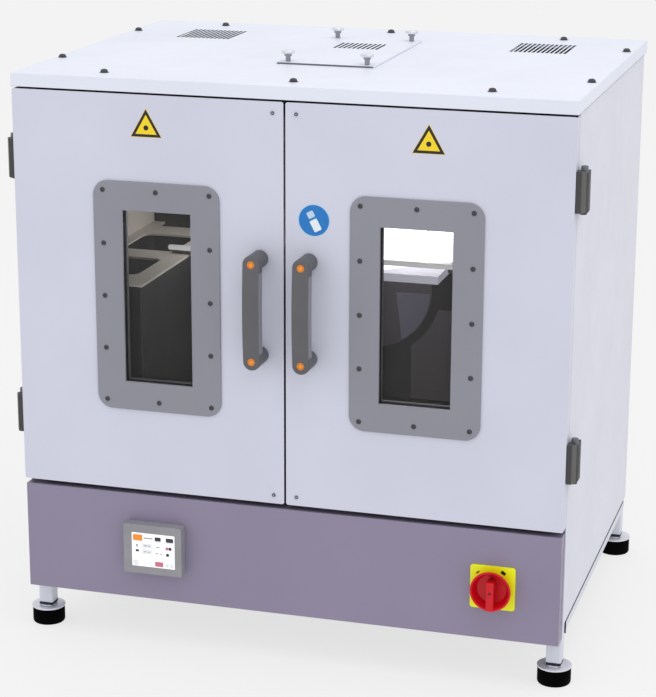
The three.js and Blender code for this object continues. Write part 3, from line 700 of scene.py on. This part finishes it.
# --------------------------------------------------------------------- hinges
for s in ("left", "right"):
    sg = side_of(s)
    for t in ("upper", "lower"):
        lo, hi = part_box(f"{s}_{t}_hinge_door_leaf")
        hz = (lo.z + hi.z) / 2
        px, py = sg * 0.408, Y(21)
        X = lambda v: sg * v * MM
        h, kz = 0.028, 0.0135
        def lx(a, b2):
            return (min(X(a), X(b2)), max(X(a), X(b2)))
        bm = bmesh.new()
        x0, x1 = lx(400.3, 407.6)
        drop = 0.0045
        flip = lambda pts: [(X(a), Y(b2)) for a, b2 in pts]
        prism(bm, flip([(400.3, 0.6), (407.6, 0.6), (412.5, 9), (412.5, 12.5), (409.5, 15), (400.3, 15)]), "xy", hz - h, hz + h)
        # the chamfer face of the door leaf gets the lighter copy as a painted highlight
        for f in bm.faces:
            c = f.calc_center_median()
            if abs(c.z - hz) < 0.001 and abs(abs(c.x) - 0.41005) < 0.0004 and c.y < Y(6):
                f.material_index = 1
        finish_mesh(bm, f"{s}_{t}_door_leaf", "hinge", f"{s}_door", [f"{s}_{t}_hinge_door_leaf"], bevel=0.0005, seg=2, mats=["hinge", "hinge_painted_highlight"])
        bm = bmesh.new()
        block(bm, x0, x1, Y(14), Y(20.6), hz - kz, hz + kz)
        lathe(bm, [(2.7, -kz / MM), (4.5, -kz / MM), (4.9, -kz / MM + 0.4), (4.9, kz / MM - 0.4), (4.5, kz / MM), (2.7, kz / MM), (2.7, -kz / MM)], (px, py, hz), (0, 0, 1), 40)
        finish_mesh(bm, f"{s}_{t}_door_knuckle", "hinge", f"{s}_door")
        bm = bmesh.new()
        prism(bm, flip([(400.3, 27), (409.5, 27), (412.5, 30), (412.5, 46), (400.3, 46)]), "xy", hz - h - drop, hz + h - drop)
        finish_mesh(bm, f"{s}_{t}_cabinet_leaf", "hinge", "cabinet", [f"{s}_{t}_hinge_cabinet_leaf"], bevel=0.0007, seg=2)
        bm = bmesh.new()
        for a, b2 in ((-32.5, -13.9), (13.9, 23.5)):
            block(bm, x0, x1, Y(21.4), Y(28), hz + a * MM, hz + b2 * MM)
            lathe(bm, [(0, a), (4.5, a), (4.9, a + 0.4), (4.9, b2 - 0.4), (4.5, b2), (0, b2)], (px, py, hz), (0, 0, 1), 40)
        lathe(bm, [(0, -31.5), (2.2, -31.5), (2.2, 22.5), (0, 22.5)], (px, py, hz), (0, 0, 1), 32)
        finish_mesh(bm, f"{s}_{t}_cabinet_knuckle", "hinge", "cabinet")
        bm = bmesh.new()
        lathe(bm, [(0, 23.7), (4.5, 23.7), (4.9, 24.1), (4.9, 31.8), (4.5, 32.6), (3.6, 33), (0, 33)], (px, py, hz), (0, 0, 1), 40)
        finish_mesh(bm, f"{s}_{t}_hinge_pin_cap", "hinge_cap", "cabinet")
        # screws of the cabinet leaf, sunk in its outer face
        bm = bmesh.new()
        for dz in (-17, 17):
            pan_head(bm, (X(412.0), Y(38.5), hz - drop + dz * MM), (sg, 0, 0), 3.4, 0.8)
        finish_mesh(bm, f"{s}_{t}_cabinet_leaf_screws", "screw", "cabinet", angle=40)

# ---------------------------------------------------------------- main switch
lo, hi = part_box("main_switch_knob")
kx, kz2 = (lo.x + hi.x) / 2, (lo.z + hi.z) / 2
bm = bmesh.new()
prof = [(0, 3.3), (21.9, 3.3), (22.4, 3.8), (25.4, 10.5), (28.4, 17.0), (29.0, 17.8), (29.0, 19.2), (28.4, 19.9), (27.3, 20.0), (26.4, 19.4), (25.3, 16.5), (23.3, 11.5), (21.8, 8.0), (21.0, 6.6), (19.8, 6.1), (0, 6.1)]
lathe(bm, prof, (kx, Y(0), kz2), (0, -1, 0), 96)
prism(bm, [(Y(-21.8), kz2 + 0.0140), (Y(-21.8), kz2 - 0.0284), (Y(-17.6), kz2 - 0.0284), (Y(-5.5), kz2 - 0.0222), (Y(-5.5), kz2 + 0.0140)], "yz", kx - 0.0053, kx + 0.0053)
lathe(bm, [(0, 2), (4.1, 2), (4.1, 3.6), (0, 3.6)], (kx, Y(-2 + 2), kz2), (0, -1, 0), 24)
knob = finish_mesh(bm, "rotary_knob", "red", "main_switch_knob", ["main_switch_knob"], bevel=0.0007, seg=3, angle=30)
bm = bmesh.new()
lathe(bm, [(0, -0.3), (1.9, -0.3), (1.9, 0.12), (0, 0.12)], (kx - 0.0002, Y(-21.8), kz2 - 0.0020), (0, -1, 0), 20)
# small pointer above the grip, on the dish floor
prism(bm, [(kx - 0.0024, kz2 + 0.0148), (kx + 0.0024, kz2 + 0.0148), (kx, kz2 + 0.0178)], "xz", Y(-6.5), Y(-5.9))
finish_mesh(bm, "knob_marks", "mark", "main_switch_knob")
bm = bmesh.new()
def tilted(cx, cz, w, h, deg):
    a = math.radians(deg)
    return [(cx + x * math.cos(a) - z * math.sin(a), cz + x * math.sin(a) + z * math.cos(a)) for x, z in ((-w / 2, -h / 2), (w / 2, -h / 2), (w / 2, h / 2), (-w / 2, h / 2))]
prism(bm, tilted(0.2822, 0.1698, 0.0054, 0.0020, 40), "xz", Y(-3.0), Y(-2.6))
prism(bm, tilted(0.3185, 0.1722, 0.0072, 0.0046, -36), "xz", Y(-3.0), Y(-2.6))
finish_mesh(bm, "switch_plate_marks", "mark", "cabinet")

# ----------------------------------------------------------------- controller
lo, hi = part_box("controller_screen")
sx0, sx1, sz0, sz1 = lo.x, hi.x, lo.z, hi.z
sw, sh = sx1 - sx0, sz1 - sz0
ys = lo.y - 0.00025


def tile(bm, u0, u1, v0, v1, r=0.0):
    """screen-relative rectangle, v from the top"""
    x0, x1 = sx0 + sw * u0, sx0 + sw * u1
    z1, z0 = sz1 - sh * v0, sz1 - sh * v1
    if r:
        prism(bm, rr_pts((x0 + x1) / 2, (z0 + z1) / 2, x1 - x0, z1 - z0, min(r, (x1 - x0) / 2.01, (z1 - z0) / 2.01), 5), "xz", ys, lo.y + 0.0003)
    else:
        block(bm, x0, x1, ys, lo.y + 0.0003, z0, z1)


sets = {
    "ic_orange": [(0.03, 0.25, 0.05, 0.235, 0.001)],
    "ic_dark": [(0.54, 0.68, 0.085, 0.20, 0.001), (0.80, 0.97, 0.085, 0.205, 0.001), (0.86, 0.93, 0.35, 0.44, 0.0018), (0.80, 0.87, 0.54, 0.63, 0.0018), (0.09, 0.165, 0.50, 0.565, 0.0008)],
    "ic_grey": [(0.28, 0.49, 0.125, 0.160, 0.0), (0.53, 0.97, 0.225, 0.232, 0.0), (0.28, 0.36, 0.36, 0.385, 0.0), (0.39, 0.43, 0.36, 0.385, 0.0), (0.28, 0.34, 0.54, 0.565, 0.0), (0.38, 0.42, 0.54, 0.565, 0.0), (0.57, 0.65, 0.37, 0.40, 0.0), (0.55, 0.62, 0.56, 0.585, 0.0), (0.65, 0.71, 0.56, 0.585, 0.0), (0.10, 0.14, 0.34, 0.42, 0.0008)],
    "ic_red": [(0.54, 0.73, 0.82, 0.96, 0.0008), (0.79, 0.855, 0.35, 0.44, 0.0015)],
    "ic_light": [(0.24, 0.47, 0.30, 0.44, 0.001), (0.24, 0.47, 0.48, 0.62, 0.001), (0.03, 0.15, 0.82, 0.97, 0.001), (0.78, 0.86, 0.84, 0.96, 0.001), (0.89, 0.97, 0.84, 0.96, 0.001)],
}
for mname, tiles in sets.items():
    bm = bmesh.new()
    for (u0, u1, v0, v1, r) in tiles:
        tile(bm, u0, u1, v0, v1, r)
    o = finish_mesh(bm, f"screen_{mname}", mname, "cabinet")
    if mname == "ic_light":
        for vtx in o.data.vertices:
            vtx.co.y += 0.00012

# --------------------------------------------------------------------- labels
def label_tri(cx, zb, w, h, body, name):
    def tri(k, off=0.0):
        cz = zb + h / 3
        pts = [(cx - w / 2, zb), (cx + w / 2, zb), (cx, zb + h)]
        return [(cx + (p[0] - cx) * k, cz + (p[1] - cz) * k) for p in pts]
    for k, mname, y in ((1.04, "lab_yellow", 0.12), (1.0, "lab_black", 0.2), (0.70, "lab_yellow", 0.28)):
        bm = bmesh.new()
        prism(bm, tri(k), "xz", Y(-y), Y(0.05))
        finish_mesh(bm, f"{name}_{'edge' if k > 1 else 'rim' if k == 1 else 'face'}", mname, body)
    # plain round dot in the middle
    bm = bmesh.new()
    lathe(bm, [(0, 0.1), (3.6, 0.1), (3.6, 0.36), (0, 0.36)], (cx, Y(0), zb + h * 0.33), (0, -1, 0), 28)
    finish_mesh(bm, f"{name}_dot", "lab_black", body)


label_tri(-0.2000, 0.7565, 0.0445, 0.0388, "left_door", "left_heat_label")
label_tri(0.2014, 0.7560, 0.0445, 0.0388, "right_door", "right_heat_label")

bcx, bcz = 0.0422, 0.6546
for r, y, mname, nm in ((23.6, 0.15, "lab_rim", "edge"), (21.6, 0.25, "lab_blue", "face")):
    bm = bmesh.new()
    lathe(bm, [(0, -0.05), (r, -0.05), (r, y), (0, y)], (bcx, Y(0), bcz), (0, -1, 0), 72)
    finish_mesh(bm, f"round_label_{nm}", mname, "right_door")
# two plain rounded bars, leaning
a = math.radians(28)
for nm, mn, (ox, oz, w, h2) in (("bar", "lab_white", (-0.0010, -0.0070, 0.0112, 0.0170)), ("small_bar", "lab_rim", (-0.0004, 0.0090, 0.0100, 0.0094))):
    bm = bmesh.new()
    pts = [(bcx + x * math.cos(a) - z * math.sin(a), bcz + x * math.sin(a) + z * math.cos(a)) for x, z in rr_pts(ox, oz, w, h2, 0.0018, 6)]
    prism(bm, pts, "xz", Y(-0.36), Y(-0.2))
    finish_mesh(bm, f"round_label_{nm}", mn, "right_door")

# ------------------------------------------------------------ chamber details
for k, n in ((1, "ir_emitter_1"), (2, "ir_emitter_2")):
    lo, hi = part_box(n)
    cyy = (lo.y + hi.y) / 2
    zc = lo.z + 0.0045
    half = (hi.x - lo.x) / 2 / MM
    bm = bmesh.new()
    L = half
    lathe(bm, [(0, -L), (2.0, -L + 0.2), (3.4, -L + 1.4), (3.8, -L + 3.2), (3.8, -L + 22), (4.1, -L + 22.4), (4.1, L - 22.4), (3.8, L - 22), (3.8, L - 3.2), (3.4, L - 1.4), (2.0, L - 0.2), (0, L)], (0, cyy, zc), (1, 0, 0), 32)
    # the rod glow is painted light
    finish_mesh(bm, f"heating_rod_{k}", "quartz" if k == 1 else "quartz_painted_glow", "cabinet", [n])
    bm = bmesh.new()
    top = hi.z
    for sx in (-1, 1):
        xx = sx * (half - (41.5 if k == 1 else 1.5)) * MM
        block(bm, xx - 0.0012, xx + 0.0012, cyy - 0.002, cyy + 0.002, zc + 0.003, top)
    # the hangers take the glowing ceramic: painted light
    finish_mesh(bm, f"heating_rod_hangers_{k}", "ceramic", "cabinet", bevel=0.0003)

# flexible seals on the door backs, round the chamber mouth
for s in ("left", "right"):
    sg = side_of(s)
    x0, x1 = 0.006, 0.3725
    z0, z1 = 0.2600, 0.7885
    cxs, czs = (x0 + x1) / 2 * sg, (z0 + z1) / 2
    W, H = x1 - x0, z1 - z0
    bm = bmesh.new()
    prof = [(0.0, 19.75), (0.0, 22.5), (0.0012, 25.5), (0.0035, 27.2), (0.0058, 25.5), (0.007, 22.5), (0.007, 19.75)]
    loops = []
    for off, y in prof:
        loops.append([bm.verts.new((p[0], Y(y), p[1])) for p in rr_pts(cxs, czs, W - 2 * off, H - 2 * off, 0.014 - off, 8)])
    for a, b2 in zip(loops, loops[1:] + loops[:1]):
        for i in range(len(a)):
            j = (i + 1) % len(a)
            bm.faces.new((a[i], a[j], b2[j], b2[i]))
    finish_mesh(bm, f"{s}_door_seal", "seal", f"{s}_door", angle=50)

# circulation outlet on the rear wall of the chamber: dished disc, vane and corner baffles
ox, oz = 0.0, 0.443
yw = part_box("chamber_liner")[1].y - 0.0019
bm = bmesh.new()
lathe(bm, [(0, 0), (97, 0), (97, 1.0), (95.5, 1.5), (60, 2.2), (16, 3.0), (14, 3.6), (0, 3.6)], (ox, yw, oz), (0, -1, 0), 96)
finish_mesh(bm, "air_outlet_disc", "duct_dark", "cabinet", angle=20)
def arc(r, a0, a1, n):
    return [(ox + r * MM * math.cos(math.radians(a0 + (a1 - a0) * i / n)), oz + r * MM * math.sin(math.radians(a0 + (a1 - a0) * i / n))) for i in range(n + 1)]
bm = bmesh.new()
# the vane takes the lighter copy: painted light
prism(bm, arc(95, -2, -59, 20) + [(0.0390, 0.4385), (0.0820, 0.4430)][:1], "xz", yw - 0.0040, yw - 0.0030)
finish_mesh(bm, "air_outlet_vane", "duct", "cabinet", bevel=0.0003)
bm = bmesh.new()
for m2 in (1, -1):
    pts = [(m2 * p[0], p[1]) for p in arc(111, -54.3, -15.2, 16) + [(0.1292, 0.4138), (0.1292, 0.2645), (0.0648, 0.2645)]]
    prism(bm, pts, "xz", yw - 0.0022, yw)
finish_mesh(bm, "air_outlet_baffles", "duct_dark", "cabinet", bevel=0.0004)

# painted shade: dark plates under the slots of the top cover, so the slots read dark
bm = bmesh.new()
for x0, x1, y0, y1 in ((-0.314, -0.216, 411, 517), (0.215, 0.313, 411, 517), (-0.0455, 0.0455, 345, 432)):
    block(bm, x0, x1, Y(y0), Y(y1), 0.8290, 0.8302)
finish_mesh(bm, "slot_shade_plates", "mesh", "cabinet", bevel=0.0003)

# upturned fixing flange along the outer edge of each rack ledge, screwed to the chamber wall
for s in ("left", "right"):
    sg = side_of(s)
    xa, xb = sorted((sg * 0.3684, sg * 0.3699))
    bm = bmesh.new()
    block(bm, xa, xb, Y(330), Y(466), 0.5282, 0.5900)
    for y in (360, 400, 440):
        lathe(bm, [(0, 0), (3.4, 0), (3.2, 1.2), (2.2, 2.0), (0, 2.2)], (sg * 0.3684, Y(y), 0.572), (-sg, 0, 0), 20)
    finish_mesh(bm, f"{s}_rack_flange", "rack", "cabinet", bevel=0.0003)

# painted shadow: a dark strip in the gap along the lower edge of each side panel
for s in ("left", "right"):
    sg = side_of(s)
    xa, xb = sorted((sg * 0.3979, sg * 0.3997))
    bm = bmesh.new()
    block(bm, xa, xb, Y(51), Y(566), 0.0876, 0.0922)
    block(bm, xa, sorted((xa, xb))[1], Y(49.6), Y(51.6), 0.0705, 0.0922)
    finish_mesh(bm, f"{s}_panel_shadow_strip", "joint", "cabinet", bevel=0.0002)

# ------------------------------------------------------------- back details
bm = bmesh.new()
for x in (-385, -130, 130, 385):
    for z in (100, 790):
        pan_head(bm, (x * MM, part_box("back_panel")[1].y, z * MM), (0, 1, 0), 4.2, 2.0)
for z in (330, 560):
    for x in (-385, 385):
        pan_head(bm, (x * MM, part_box("back_panel")[1].y, z * MM), (0, 1, 0), 4.2, 2.0)
finish_mesh(bm, "back_screws", "screw", "cabinet", angle=40)
lo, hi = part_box("mains_inlet")
bm = bmesh.new()
icx, icz = (lo.x + hi.x) / 2, 0.157
for dx, dz in ((-0.005, -0.003), (0.005, -0.003), (0.0, 0.004)):
    block(bm, icx + dx - 0.001, icx + dx + 0.001, hi.y - 0.018, hi.y - 0.004, icz + dz - 0.002, icz + dz + 0.002)
finish_mesh(bm, "inlet_pins", "bright", "cabinet", bevel=0.0002)

# ----------------------------------------------------------------- the stage
bm = bmesh.new()
bmesh.ops.create_grid(bm, x_segments=1, y_segments=1, size=30)
me = bpy.data.meshes.new("floor")
bm.to_mesh(me)
bm.free()
floor = bpy.data.objects.new("floor", me)
coll.objects.link(floor)
m, nt, b = new_mat("floor_pale")
b.inputs["Base Color"].default_value = (0.20, 0.20, 0.20, 1)
b.inputs["Roughness"].default_value = 0.95
b.inputs["Specular IOR Level"].default_value = 0.0
b.inputs["Emission Color"].default_value = (1.0, 1.0, 1.0, 1)
b.inputs["Emission Strength"].default_value = 0.712
me.materials.append(m)

world = bpy.data.worlds.new("studio")
scene.world = world
world.use_nodes = True
bg = world.node_tree.nodes["Background"]
bg.inputs["Color"].default_value = (0.905, 0.905, 0.905, 1)
bg.inputs["Strength"].default_value = 1.0


def area(name, loc, target, size, energy, col=(1, 1, 1)):
    d = bpy.data.lights.new(name, "AREA")
    d.shape = "DISK"
    d.size = size
    d.energy = energy
    d.color = col
    o = bpy.data.objects.new(name, d)
    coll.objects.link(o)
    o.location = loc
    o.rotation_euler = (Vector(target) - Vector(loc)).to_track_quat("-Z", "Y").to_euler()
    return o


area("key", (1.2, -1.0, 3.6), (0, 0, 0.5), 2.6, 26)
area("fill", (-2.8, -2.6, 2.2), (0, 0, 0.4), 3.0, 8)

cam_d = bpy.data.cameras.new("camera")
cam = bpy.data.objects.new("camera", cam_d)
coll.objects.link(cam)
right = Vector((0.95961968, 0.28128071, 0.00334997))
down = Vector((0.08009127, -0.26178533, -0.96179719))
fwd = Vector((-0.26965803, 0.92322782, -0.27374248))
cam.matrix_world = Matrix(((right.x, -down.x, -fwd.x, 0.87508), (right.y, -down.y, -fwd.y, Y(-2781.27)), (right.z, -down.z, -fwd.z, 1.29943), (0, 0, 0, 1)))
cam_d.sensor_width = 36.0
cam_d.lens = 2176.86 * 36.0 / 697.0
cam_d.clip_end = 100
scene.camera = cam
scene.view_settings.view_transform = "Standard"

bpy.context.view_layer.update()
